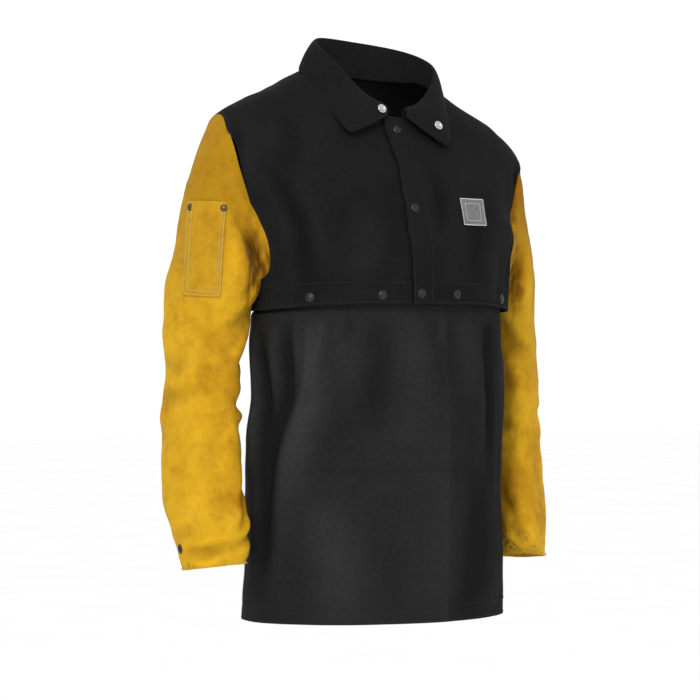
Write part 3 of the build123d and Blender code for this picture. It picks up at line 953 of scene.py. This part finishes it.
turn = np.radians(np.linspace(9, 351, 260))
stand_x = -NECK_HALF_WIDTH * np.sin(turn)
stand_y = NECK_Y - NECK_HALF_DEPTH * np.cos(turn)
foot = seam_height(stand_x, stand_y) - 6
head = np.maximum(roll_height(stand_y), foot + 14)
flare = 1 + 0.055 * smooth(np.degrees(turn), 40, 100) * (1 - smooth(np.degrees(turn), 260, 320))
fold_x, fold_y = stand_x * flare, NECK_Y + (stand_y - NECK_Y) * flare
part = np.linspace(0, 1, 22)[:, None]
grid = np.stack(
    [
        stand_x + (fold_x - stand_x) * part,
        stand_y + (fold_y - stand_y) * part,
        foot + (head - foot) * part,
    ],
    -1,
)
grid = lean(grid)
grid = grid + 0.5 * wavy(grid, 30.0, 31)[..., None] * [0.7, 0.7, 0.2]
flat = np.stack(np.broadcast_arrays(turn[None, :] * 78.0, part * 50.0), -1)
stand = orient(grid_piece("collar_stand_cloth", grid[::-1], flat))
fit(thicken(stand, CLOTH), YOKE_CLOTH, ["collar_stand"])

degrees = np.degrees(turn)
half_turn = np.where(degrees > 180, 360 - degrees, degrees)
side = np.where(degrees > 180, 1.0, -1.0)
edge = spline(LEAF_EDGE, half_turn)
edge = np.stack([edge[:, 0] * side, edge[:, 1], edge[:, 2]], -1)
top = np.stack([fold_x, fold_y, head], -1)
outward_way = np.stack([stand_x, stand_y - NECK_Y, np.zeros_like(stand_x)], -1)
outward_way = outward_way / np.linalg.norm(outward_way, axis=1, keepdims=True)
up = np.array([0, 0, 1.0])
width = np.linalg.norm(edge - top, axis=1, keepdims=True)
top = top - outward_way * 1.0 - up * 2.0
first = top + up * np.minimum(9.0, width * 0.35) + outward_way * 1.0
second = top + (edge - top) * 0.32 + up * np.minimum(7.0, width * 0.25) + outward_way * 6.0
third = top + (edge - top) * 0.70 + outward_way * 5.0
part = np.linspace(0, 1, 34)[:, None, None]
leaf = (
    (1 - part) ** 4 * top
    + 4 * (1 - part) ** 3 * part * first
    + 6 * (1 - part) ** 2 * part**2 * second
    + 4 * (1 - part) * part**3 * third
    + part**4 * edge
)
leaf = lean(leaf)
leaf = leaf + (0.9 * wavy(leaf, 38.0, 33) * part[..., 0])[..., None] * [0.6, 0.6, 0.5]
flat = np.stack(np.broadcast_arrays(turn[None, :] * 90.0, part[..., 0] * 55.0), -1)
leaf_piece = orient(grid_piece("collar_leaf_cloth", leaf, flat))
leaf_tree = tree_of(leaf_piece)
fit(thicken(leaf_piece, CLOTH * 1.5), YOKE_CLOTH, ["collar_leaf"])

# ---- bib ----
BIB_EDGE = math.acos((BIB_MIDDLE_Y - BIB_EDGE_Y) / 123.0)


def bib_points(turn, height, out=0.0):
    """Bib surface with its soft vertical folds, and its painted shade: lighter where the cloth stands out,
    darker in hollows and at both sides.
    """
    row = spline(BIB, height)
    half, depth, middle = (row[..., k] for k in range(3))
    half, depth = half + out, depth + out
    points = np.stack([half * np.sin(turn), middle - depth * np.cos(turn), height], -1)
    swing = hump(-height, 320, 400, 470, 560)
    points[..., 0] -= 4.5 * swing * smooth(np.abs(points[..., 0]), 60, 170)
    billow = hump(-height, 299, 309, 330, 400)
    billow = 6.5 * billow + 5.0 * hump(-height, 420, 470, 560, 640)
    points[..., 0] -= billow * smooth(-points[..., 0], 60, 165)
    drawn = 6.0 * hump(-height, 312, 345, 560, 640)
    points[..., 0] -= drawn * smooth(points[..., 0], 60, 165)
    u = np.degrees(turn) * 2.8
    marks = [
        (-172, -300, -205, -520, 16, -3.6),
        (-145, -310, -175, -560, 22, 3.0),
        (-55, -300, -75, -480, 26, -2.6),
        (60, -300, 66, -430, 22, 1.8),
        (120, -300, 128, -500, 17, -3.0),
        (165, -300, 150, -560, 20, 2.8),
        (205, -330, 200, -620, 17, -3.2),
        (-235, -330, -225, -700, 18, -3.4),
        (-265, -300, -262, -560, 14, 2.6),
        (245, -380, 260, -700, 16, 2.6),
        (90, -520, 60, -740, 30, -2.2),
        (-120, -560, -100, -745, 32, 2.2),
        (-152, -296, -163, -430, 7, -1.8),
        (-124, -296, -137, -392, 6, 1.5),
        (-88, -298, -96, -350, 6, -1.4),
        (146, -300, 150, -570, 7, -1.7),
        (30, -296, 26, -352, 7, 1.2),
    ]
    relief = 2.2 * crease(u, height, marks) * smooth(-height, 296, 335)
    pressed = bell(height, -521, 2.6) * hump(u, -170, -140, 60, 100)
    relief = relief - 1.1 * pressed
    relief = relief + 1.0 * bell(u, 34, 4.0) * smooth(-height, 300, 340)
    broad = 1.5 * wavy(points * [1, 1, 0.35], 70.0, 41) + 0.55 * wavy(points, 30.0, 42)
    # The cloth turns away past the pressed crease; painted shade darkens it past the crease and at the
    # wearer's right side.
    relief = relief - 0.04 * np.clip(u - 34, 0, 90) * smooth(-height, 300, 360)
    tone = relief / 7.0 - 0.30 * smooth(u, 32, 39) - 0.35 * (1 - smooth(u, -215, -140))
    relief = relief + broad * smooth(-height, 290, 340)
    hem = bell(height - BIB_BOTTOM_Z, 22, 6)
    relief = relief + 0.5 * wavy(points, 10.0, 43) * hem
    relief = relief + 1.8 * wavy(points, 60.0, 44) * smooth(-height, 640, 728)
    normal = np.stack([np.sin(turn), -np.cos(turn), 0 * turn], -1)
    # The broad bulges lighten the painted shade where they stand out.
    return points + normal * relief[..., None], np.clip(tone + broad / 14.0, -1, 1)


def bib_sheet(name, nodes, columns, rows, high, low, first=-BIB_EDGE, last=BIB_EDGE, out=-CLOTH - 0.2):
    """One ply of the bib, and its ray-casting tree."""
    turn = np.linspace(first, last, columns)[None, :]
    height = np.linspace(high, low, rows)[:, None]
    turn, height = np.broadcast_arrays(turn, height)
    points, tone = bib_points(turn, height, out)
    flat = np.stack([turn * BIB_RADIUS, height], -1)
    piece = orient(grid_piece(name, points, flat, tone=tone))
    surface = tree_of(piece)
    return fit(thicken(piece, CLOTH), BIB_CLOTH, nodes, body=None), surface


SIDE_HEM = 0.14
high, low = BIB_TOP_Z, BIB_BOTTOM_Z
bib_cloth, bib_tree = bib_sheet("bib_cloth", ["bib_top_band", "bib_panel"], 340, 190, high, low, out=0.0)
bib_plies = [
    bib_sheet("bib_top_fold_ply", ["bib_top_fold"], 200, 12, high, high - HEM_FOLD)[0],
    bib_sheet("bib_bottom_hem_ply", ["bib_bottom_hem"], 260, 12, low + 26, low + 0.6)[0],
]
high, low = high - HEM_FOLD - 1, low + 27
for name, first, last in (
    ("bib_right_side_hem_ply", -BIB_EDGE, SIDE_HEM - BIB_EDGE),
    ("bib_left_side_hem_ply", BIB_EDGE - SIDE_HEM, BIB_EDGE),
):
    bib_plies.append(bib_sheet(name, ["bib_side_hems"], 8, 120, high, low, first, last)[0])

# ---- sleeves ----
SIDES = ((-1, "right"), (1, "left"))
sleeve_trees, sleeve_cloth, cuff_rims = {}, {}, {}


def grease_and_shade_at(side, x, y, z):
    """Grease and painted shade under the arm, inside the elbow and at the cuff, and painted shade darkening
    the upper part, further down on the left sleeve.
    """
    under = math.exp(-(((z + 262) / 42) ** 2)) * (1 - smooth(side * x, 204, 222))
    under *= 1.05 if side < 0 else 0.5
    inner = 0.45 * math.exp(-(((side * x - 206) / 9) ** 2)) * (1 - smooth(y, -10, 20))
    cuff = 0.35 * float(smooth(-z, 640, 652))
    blotch = 0.6 + 1.5 * noise.noise(Vector((x / 7.0, y / 7.0, (z + 0.8 * y) / 19.0)))
    # Painted shade: the upper part is darker, and on the left sleeve the darkening reaches further down.
    painted_upper_shade = 0.56 * float(smooth(z, -330, -110))
    painted_upper_shade += 0.20 * float(smooth(z, -470, -330)) if side > 0 else 0.0
    return float(np.clip((under + inner * 0.6 + cuff) * blotch + painted_upper_shade, 0, 1))


def grease_and_shade(piece, values):
    """Store how dark the hide is at each of its points, from grease and painted shade."""
    layer = piece.data.attributes.new("grease_and_shade", "FLOAT", "POINT")
    layer.data.foreach_set("value", values)


for side, name in SIDES:
    points, flat, along = sleeve_grid(side)
    normal = outward(points, points.mean(1, keepdims=True))
    relief, tone = sleeve_relief(side, points, flat, along)
    points = points + normal * relief[..., None]
    piece = orient(grid_piece(f"{name}_sleeve_hide", points, flat, closed=True, tone=tone))
    sleeve_trees[name] = tree_of(piece)
    cuff_rims[name] = points[-2]
    thicken(piece, LEATHER)
    grease_and_shade(piece, [grease_and_shade_at(side, *(v.co / MM)) for v in piece.data.vertices])
    nodes = [f"{name}_sleeve_upper", f"{name}_sleeve_lower"]
    sleeve_cloth[name] = fit(piece, HIDE, nodes, body=None)

# ---- raw cuff edges fray, most of all inside the left wrist ----
chance = np.random.default_rng(842)


def fray(name, tree, places):
    """Loose fibres: (point, length in millimetres) each growing out of a surface."""
    verts, faces = [], []
    for point, length in places:
        hit, normal, _, _ = tree.find_nearest(Vector(point) * MM)
        root, out = np.array(hit) / MM, np.array(normal)
        sag = np.array([0.0, 0.0, -1.0])
        way = out * chance.uniform(0.25, 0.8) + sag * chance.uniform(0.2, 1.0) + chance.normal(0, 0.35, 3)
        way = way / np.linalg.norm(way)
        curl = chance.normal(0, 0.35, 3)
        across = np.cross(way, out + 0.01)
        across = across / np.linalg.norm(across)
        up = np.cross(across, way)
        rings = []
        for t in (0.0, 0.4, 0.75, 1.0):
            centre = root + (way * t + curl * t * t) * length
            rings.append(ring(centre, across, up, 0.5 * (1.05 - t), 3))
        tube(verts, faces, rings, capped=False)
    return piece_of(name, verts, faces, rounded=False)


for side, name in SIDES:
    rim = cuff_rims[name]
    places = []
    for _ in range(230):
        places.append((rim[chance.integers(len(rim))], chance.uniform(1.2, 4.2)))
    if side > 0:
        inner = rim[(rim[:, 0] < 244) & (rim[:, 1] < 12)]
        for _ in range(330):
            rise = 34 * chance.uniform(0, 1) ** 1.6
            spot = inner[chance.integers(len(inner))] + [0, 0, rise]
            places.append((spot, chance.uniform(2.0, 7.5)))
    fuzz = fray(f"{name}_cuff_fray", sleeve_trees[name], places)
    fit(fuzz, FRAY, body=f"{name}_forearm")

# ---- pencil pocket, on the wearer's right upper sleeve ----
VIEW = -AZIMUTH
TILT = math.radians(-3.5)
FACE = np.array([-math.sin(VIEW), -math.cos(VIEW), 0.0])
ACROSS = np.array([math.cos(VIEW), -math.sin(VIEW), 0.0])
ABOVE = np.array([0, 0, 1.0])
UPRIGHT = ABOVE * math.cos(TILT) + ACROSS * math.sin(-TILT)
SIDEWAYS = ACROSS * math.cos(TILT) + ABOVE * math.sin(TILT)
POCKET_W, POCKET_H = 62.0, 129.0
POCKET_CENTRE = np.array([-255.0, 0.0, -220.0])


def on_sleeve(across, up, lift):
    """Point of the right sleeve under a pocket coordinate, raised by lift, and its normal."""
    # The pocket narrows a little as it lies round the sleeve, seen square on.
    across = across * 0.86 - 0.00008 * abs(across) ** 3
    start = POCKET_CENTRE + FACE * 200 + UPRIGHT * up + SIDEWAYS * across
    hit, normal, _, _ = sleeve_trees["right"].ray_cast(Vector(start) * MM, Vector(-FACE))
    if normal.dot(Vector(FACE)) < 0:
        normal = -normal
    return np.array(hit) / MM + np.array(normal) * lift, np.array(normal)


def laid_grid(rows, columns, height, width, place):
    """Rectangle laid on the jacket by place(across, up): its points and its flat sheet."""
    flat = np.zeros((rows, columns, 2))
    flat[..., 0] = np.linspace(-width / 2, width / 2, columns)
    flat[..., 1] = np.linspace(height / 2, -height / 2, rows)[:, None]
    return np.array([[place(*spot) for spot in row] for row in flat]), flat


def on_pocket(across, up):
    """Point of the pocket's hide, pinched at the bottom and open at the mouth."""
    corner = max(0.0, -up - POCKET_H / 2 + 7) / 7
    pinch = 1 - 0.06 * corner**2
    mouth = 1.4 * smooth(up, 40, 64) * (1 - (2 * across / POCKET_W) ** 2)
    return on_sleeve(across * pinch, up, LEATHER * 0.95 + mouth)[0]


grid, flat = laid_grid(60, 34, POCKET_H, POCKET_W, on_pocket)
pocket = orient(grid_piece("sleeve_pocket_hide", grid, flat, worn=False))
pocket_tree = tree_of(pocket)
thicken(pocket, LEATHER)
grease_and_shade(pocket, [0.12] * len(pocket.data.vertices))
fit(pocket, POCKET_HIDE, ["pencil_pocket"])


def pocket_path(inset):
    """Down one side, across the bottom and up the other, that far inside the edge."""
    w, h = POCKET_W / 2 - inset, POCKET_H / 2
    low = -h + inset
    outline = [(-w, h - 2), (-w, low + 4), (-w + 4, low), (w - 4, low), (w, low + 4), (w, h - 2)]
    path = []
    for start, end in zip(outline, outline[1:]):
        for t in np.linspace(0, 1, 24):
            x, y = np.array(start) + (np.array(end) - start) * t
            path.append(on_sleeve(x, y, LEATHER)[0])
    return np.array(path)


paths = [pocket_path(1.8), pocket_path(7.4)]
fit(stitches("pocket_stitching", paths, pocket_tree, 3.6, 0.62, 0.35, False), CREAM_THREAD)

corners = (-POCKET_W / 2 + 4.5, POCKET_W / 2 - 4.5)
rivet_places = [on_sleeve(across, POCKET_H / 2 - 9, LEATHER + 1.0) for across in corners]
fit(lathe("pocket_rivet_heads", RIVET, rivet_places), BRONZE, ["pocket_rivets"])
burr_places = [(spot - normal * (2 * LEATHER + 1.1), -normal) for spot, normal in rivet_places]
fit(lathe("pocket_rivet_burrs", BURR, burr_places), BRONZE, ["pocket_rivet_washers"])


# ---- snaps ----
SNAP_X = -5.0
FORWARD = (0, -1, 0)


def cast(tree, origin, way):
    """Outermost point and normal of a piece on a ray from inside, in millimetres."""
    start = Vector(origin) * MM + Vector(way).normalized() * 0.6
    hit, normal, _, _ = tree.ray_cast(start, -Vector(way).normalized())
    if normal.dot(Vector(way)) < 0:
        normal = -normal
    return np.array(hit) / MM, np.array(normal)


hem_places = []
for angle, rise in ((-51.0, 8.5), (-18.0, 12.0), (17.0, 14.0), (52.0, 9.0)):
    turn = math.radians(angle)
    way = (192.0 * math.sin(turn), -130.0 * math.cos(turn), 0.0)
    tree = yoke_trees["right_front" if angle < 0 else "left_front"]
    hem_places.append(cast(tree, (0, BIB_MIDDLE_Y, HEM_Z + rise), way))
hem_places.append(cast(band_tree, (SNAP_X, BIB_MIDDLE_Y, HEM_Z + 14.5), FORWARD))
fit(lathe("hem_snap_domes", DOME, hem_places), CAP_METAL, ["hem_snap_caps"])

placket_places = [cast(band_tree, (SNAP_X, BIB_MIDDLE_Y, z), FORWARD) for z in (-54.0, -164.0)]
fit(lathe("placket_snap_domes", DOME, placket_places), CAP_METAL, ["placket_snap_caps"])
for name, profile, depth, node in (
    ("placket_socket_rings", SOCKET_BACK, -CLOTH - PLY_GAP, "placket_snap_sockets"),
    ("placket_stud_knobs", STUD_BACK, -CLOTH - 2.1, "placket_snap_studs"),
    ("placket_eyelet_burrs", EYELET_BACK, -BAND_STAND - 2 * CLOTH - 1.6, "placket_snap_eyelets"),
):
    behind = [(spot + normal * depth, -normal) for spot, normal in placket_places]
    fit(lathe(name, profile, behind), NICKEL, [node])

for side, name in SIDES:
    place = cast(sleeve_trees[name], (side * 245.0, 2.0, -628.0), (side * 0.9, 0.42, 0.0))
    dome = lathe(f"{name}_cuff_snap_dome", DOME, [place])
    fit(dome, CAP_METAL, [f"{name}_cuff_snap"], body=f"{name}_forearm")

# Throat latch: a ring on the wearer's right collar end and a stud on the left leaf.
for name, x, z, node in (
    ("collar_latch_ring", -27, -26, "collar_snap_ring"),
    ("collar_latch_stud", 60, -46, "collar_snap_cap"),
):
    place = cast(leaf_tree, (x, BIB_MIDDLE_Y, z), FORWARD)
    fit(lathe(name, RING, [place]), NICKEL, [node])

# ---- badge: plain woven rectangle ----
BADGE_X, BADGE_Z = 96.0, -167.0


def on_badge(across, up):
    """Point of the badge, just off the left front."""
    start = (BADGE_X + across, BIB_MIDDLE_Y, BADGE_Z + up)
    spot, normal = cast(yoke_trees["left_front"], start, FORWARD)
    return spot + normal * 1.3


grid, flat = laid_grid(24, 24, 36.0, 43.0, on_badge)
badge = orient(grid_piece("chest_badge_patch", grid, flat, worn=False))
badge_tree = tree_of(badge)
outer = [grid[0, :], grid[:, -1], grid[-1, ::-1], grid[::-1, 0]]
inner = [grid[4, 4:-4], grid[4:-4, -5], grid[-5, 4:-4][::-1], grid[4:-4, 4][::-1]]
fit(stitches("chest_badge_edging", outer, badge_tree, 1.25, 0.75, 0.2, False), PATCH_EDGE)
fit(stitches("chest_badge_frame", inner, badge_tree, 2.4, 0.4, 0.2, False), PATCH_EDGE)
fit(thicken(badge, 1.1), PATCH, ["chest_badge"])

# ---- stitching on the cotton ----
def sewn(name, paths, surface, body=YOKE_BODY):
    """Rows of black stitches."""
    return fit(stitches(name, paths, surface), BLACK_THREAD, body=body)


def torso_path(first, last, height):
    """Level row on the yoke between two turns."""
    turns = first + np.linspace(0, 1, 160) * (last - first)
    points = torso_at(np.full(160, height), turns)
    points[..., 2] -= hem_dip(turns, height)
    return points


band_turns = math.asin(BAND_LEFT / 195), math.asin(BAND_RIGHT / 190)
for node, first, last in (
    ("right_front", -SIDE_SEAM, band_turns[0]),
    ("left_front", band_turns[1], SIDE_SEAM),
    ("back_yoke", SIDE_SEAM, 2 * math.pi - SIDE_SEAM),
):
    paths = [torso_path(first, last, HEM_Z + rise) for rise in (3.0, 29.0)]
    sewn(f"{node}_topstitching", paths, yoke_trees[node])

paths = []
for x in (BAND_LEFT + 3.0, BAND_LEFT + 33.0):
    heights = np.linspace(-50, HEM_Z + 2, 90)
    depths = torso_at(heights, np.arcsin(np.full(90, x) / 195.0))[:, 1] - 5
    paths.append(np.stack([np.full(90, x), depths, heights], -1))
sewn("placket_topstitching", paths, band_tree)

sewn("collar_topstitching", [leaf[-4], leaf[3:-3, 3], leaf[3:-3, -4]], leaf_tree)

paths = []
for z in (BIB_BOTTOM_Z + 22.0, BIB_BOTTOM_Z + 3.0):
    paths.append(bib_points(np.linspace(-BIB_EDGE, BIB_EDGE, 240), np.full(240, z))[0])
for turn in (0.03 - BIB_EDGE, 0.13 - BIB_EDGE, BIB_EDGE - 0.03, BIB_EDGE - 0.13):
    heights = np.linspace(HEM_Z - 4, BIB_BOTTOM_Z + 6, 160)
    paths.append(bib_points(np.full(160, turn), heights)[0])
bib_thread = sewn("bib_topstitching", paths, bib_tree, body=None)

# Armhole: two rows on the front's cloth beside the seam.
for side, name in SIDES:
    seam = armhole_edge(side, np.linspace(0, 2 * math.pi, 150))
    away = seam - seam.mean(0)
    away = away / np.linalg.norm(away, axis=1, keepdims=True)
    paths = []
    for inset in (3.5, 8.5):
        path = seam + away * inset
        path = path[(path[:, 1] < 12) & (path[:, 2] > -240)]
        paths.append(path[np.argsort(path[:, 2])])
    sewn(f"{name}_armhole_stitching", paths, yoke_trees[f"{name}_front"])

# ---- cloth that crosses a joint ----
for piece in [bib_cloth, bib_thread, *bib_plies]:
    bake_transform(piece)
for name, piece in sleeve_cloth.items():
    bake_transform(piece)

# ---- CAD pieces that stay get the same metal ----
for node in ("hem_snap_sockets", "hem_snap_studs", "hem_snap_eyelets"):
    for slot_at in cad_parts[node].material_slots:
        slot_at.link = "OBJECT"
        slot_at.material = NICKEL

# ---- studio ----
floor_z = BIB_BOTTOM_Z * MM - 0.75
reach = 30.0
corners = [(x * reach, y * reach, floor_z) for x, y in ((-1, -1), (1, -1), (1, 1), (-1, 1))]
floor = piece_of("floor", corners, [(0, 1, 2, 3)], rounded=False)
paint, paint_tree, paint_shader = new_material("pale floor")
paint_place = add(paint_tree, "ShaderNodeTexCoord")
paint_noise = noise_node(paint_tree, paint_place, 3.0)
paint_tone = ramp(paint_tree, paint_noise, [(0.3, (0.93, 0.93, 0.93)), (0.7, (0.96, 0.96, 0.96))])
tune(paint_tree, paint_shader, Base_Color=paint_tone, Roughness=0.9)
dress(floor, paint)

world = bpy.data.worlds.new("studio")
bpy.context.scene.world = world
world.use_nodes = True
background = world.node_tree.nodes["Background"]
background.inputs["Color"].default_value = (1, 1, 1, 1)
background.inputs["Strength"].default_value = 1.04


def lamp(name, spot, aim, size, power):
    """Soft square light aimed at a point."""
    data = bpy.data.lights.new(name, "AREA")
    data.size = size
    data.energy = power
    light = bpy.data.objects.new(name, data)
    bpy.context.collection.objects.link(light)
    light.location = spot
    light.rotation_euler = (Vector(aim) - Vector(spot)).to_track_quat("-Z", "Y").to_euler()


lamp("key", (-2.2, -2.6, 2.0), (0, 0, -0.35), 0.7, 62)
lamp("fill", (0.6, -3.6, 0.4), (0, 0, -0.4), 0.8, 8)
lamp("rim", (1.2, 2.4, 2.0), (0, 0, -0.2), 1.5, 8)

bpy.context.scene.view_settings.view_transform = "Standard"
bpy.context.scene.view_settings.look = "None"
